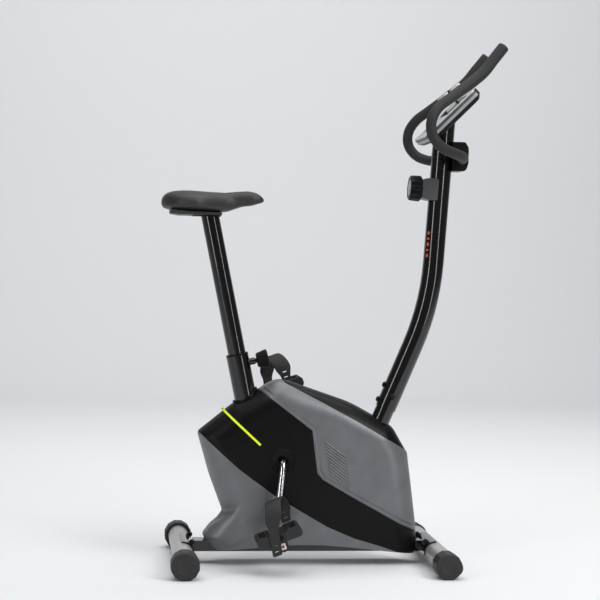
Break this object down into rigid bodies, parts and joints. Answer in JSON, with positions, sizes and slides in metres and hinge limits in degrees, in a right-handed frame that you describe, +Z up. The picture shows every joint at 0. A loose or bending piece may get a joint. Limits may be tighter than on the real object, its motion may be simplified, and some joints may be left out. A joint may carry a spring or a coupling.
{
  "type": "exercise bike",
  "caption": "Upright magnetic exercise bike: closed shroud over a belt-driven flywheel, narrow saddle, curved front column with looped foam handlebar and console.",
  "frame": {"origin": "on the floor, under the middle of the bike's length and width", "axes": "+X towards the handlebar, the way the rider faces; +Y to the rider's left; +Z up"},
  "size_m": [0.8368, 0.48, 1.2854],
  "materials": {
    "painted_steel": "gloss black powder coat",
    "silver_paint": "satin silver paint",
    "bare_steel": "plain machined steel",
    "cast_wheel": "machined cast iron",
    "chrome": "bright chrome plate",
    "black_plastic": "satin black moulding",
    "cap_plastic": "matt dark grey moulding",
    "grey_plastic": "satin mid grey moulding",
    "display": "clear hard-coated window",
    "rubber": "matt black rubber",
    "foam": "fine closed-cell foam",
    "vinyl": "matt synthetic leather"
  },
  "bodies": {
    "frame": {"main_frame": "painted_steel", "column": "painted_steel", "column_screw_upper": "painted_steel", "column_screw_lower": "painted_steel", "column_screw_side": "painted_steel", "rear_foot_nut_right": "painted_steel", "rear_foot_nut_left": "painted_steel", "front_foot_nut_right": "painted_steel", "front_foot_nut_left": "painted_steel", "rear_stabilizer": "silver_paint", "front_stabilizer": "silver_paint", "idler_arm": "bare_steel", "shroud_right": "black_plastic", "shroud_left": "black_plastic", "top_spine": "black_plastic", "seat_collar": "black_plastic", "crank_disc_right": "black_plastic", "crank_disc_left": "black_plastic", "seat_post_bushing": "black_plastic", "handlebar_clamp": "black_plastic", "tension_knob_housing": "black_plastic", "rear_foot_cap_right": "cap_plastic", "rear_foot_cap_left": "cap_plastic", "front_foot_cap_right": "cap_plastic", "front_foot_cap_left": "cap_plastic", "upper_panel_right": "grey_plastic", "upper_panel_left": "grey_plastic", "lower_panel_right": "grey_plastic", "lower_panel_left": "grey_plastic", "console_back": "grey_plastic", "console_face": "grey_plastic", "display_lens": "display", "drive_belt": "rubber", "tension_cable": "rubber"},
    "crank": {"crank": "chrome", "drive_pulley": "black_plastic"},
    "pedal_right": {"pedal_right": "rubber", "pedal_strap_right": "rubber"},
    "pedal_left": {"pedal_left": "rubber", "pedal_strap_left": "rubber"},
    "flywheel": {"flywheel": "cast_wheel", "flywheel_axle": "bare_steel", "flywheel_pulley": "bare_steel"},
    "idler": {"idler_pulley": "black_plastic"},
    "magnet_arm": {"magnet_arm": "bare_steel"},
    "tension_knob": {"tension_knob": "black_plastic"},
    "seat": {"seat_post": "painted_steel", "saddle_pan": "black_plastic", "saddle": "vinyl"},
    "seat_knob": {"seat_knob": "black_plastic"},
    "handlebar": {"handlebar": "painted_steel", "foam_grip_right": "foam", "foam_grip_left": "foam", "pulse_sensor_right": "bare_steel", "pulse_sensor_left": "bare_steel"},
    "button_1": {"console_button_1": "grey_plastic"},
    "button_2": {"console_button_2": "grey_plastic"},
    "button_3": {"console_button_3": "grey_plastic"},
    "wheel_right": {"transport_wheel_right": "rubber"},
    "wheel_left": {"transport_wheel_left": "rubber"}
  },
  "joints": [
    {"name": "flywheel_spin", "type": "hinge", "parent": "frame", "child": "flywheel", "pos_m": [0.07083, 0, 0.195], "axis": [0, 1, 0], "continuous": true},
    {"name": "crank_spin", "type": "hinge", "parent": "frame", "child": "crank", "pos_m": [-0.112, 0, 0.259], "axis": [0, 1, 0], "continuous": true},
    {"name": "idler_spin", "type": "hinge", "parent": "frame", "child": "idler", "pos_m": [-0.004, 0, 0.15048], "axis": [0, 1, 0], "continuous": true},
    {"name": "pedal_right_spin", "type": "hinge", "parent": "crank", "child": "pedal_right", "pos_m": [-0.12925, -0.16, 0.0949], "axis": [0, 1, 0], "continuous": true},
    {"name": "pedal_left_spin", "type": "hinge", "parent": "crank", "child": "pedal_left", "pos_m": [-0.09475, 0.16, 0.4231], "axis": [0, 1, 0], "continuous": true},
    {"name": "tension_knob_turn", "type": "hinge", "parent": "frame", "child": "tension_knob", "pos_m": [0.27446, 0, 0.928], "axis": [-0.998, 0, 0.0628], "range_deg": [0, 315]},
    {"name": "magnet_arm_swing", "type": "hinge", "parent": "frame", "child": "magnet_arm", "pos_m": [-0.052, 0, 0.128], "axis": [0, -1, 0], "range_deg": [0, 5]},
    {"name": "seat_post_slide", "type": "slide", "parent": "frame", "child": "seat", "axis": [-0.2079, 0, 0.9781], "range_m": [-0.16, 0.07]},
    {"name": "seat_knob_pull", "type": "slide", "parent": "frame", "child": "seat_knob", "axis": [0.9781, 0, 0.2079], "range_m": [0, 0.004], "stiffness_N_per_m": 800, "springref_m": -0.004},
    {"name": "handlebar_tilt", "type": "hinge", "parent": "frame", "child": "handlebar", "pos_m": [0.3225, 0, 1.004], "axis": [0, 1, 0], "range_deg": [-12, 12]},
    {"name": "button_1_press", "type": "slide", "parent": "frame", "child": "button_1", "axis": [0.7071, 0, -0.7071], "range_m": [0, 0.001], "stiffness_N_per_m": 500, "springref_m": -0.0006},
    {"name": "button_2_press", "type": "slide", "parent": "frame", "child": "button_2", "axis": [0.7071, 0, -0.7071], "range_m": [0, 0.001], "stiffness_N_per_m": 500, "springref_m": -0.0006},
    {"name": "button_3_press", "type": "slide", "parent": "frame", "child": "button_3", "axis": [0.7071, 0, -0.7071], "range_m": [0, 0.001], "stiffness_N_per_m": 500, "springref_m": -0.0006},
    {"name": "wheel_right_spin", "type": "hinge", "parent": "frame", "child": "wheel_right", "pos_m": [0.2862, -0.218, 0.0255], "axis": [0, 1, 0], "continuous": true},
    {"name": "wheel_left_spin", "type": "hinge", "parent": "frame", "child": "wheel_left", "pos_m": [0.2862, 0.218, 0.0255], "axis": [0, 1, 0], "continuous": true}
  ],
  "couplings": [
    {"joint": "crank_spin", "follows": "flywheel_spin", "ratio": 0.23684},
    {"joint": "idler_spin", "follows": "flywheel_spin", "ratio": -1.6071},
    {"joint": "magnet_arm_swing", "follows": "tension_knob_turn", "ratio": 0.015873}
  ]
}
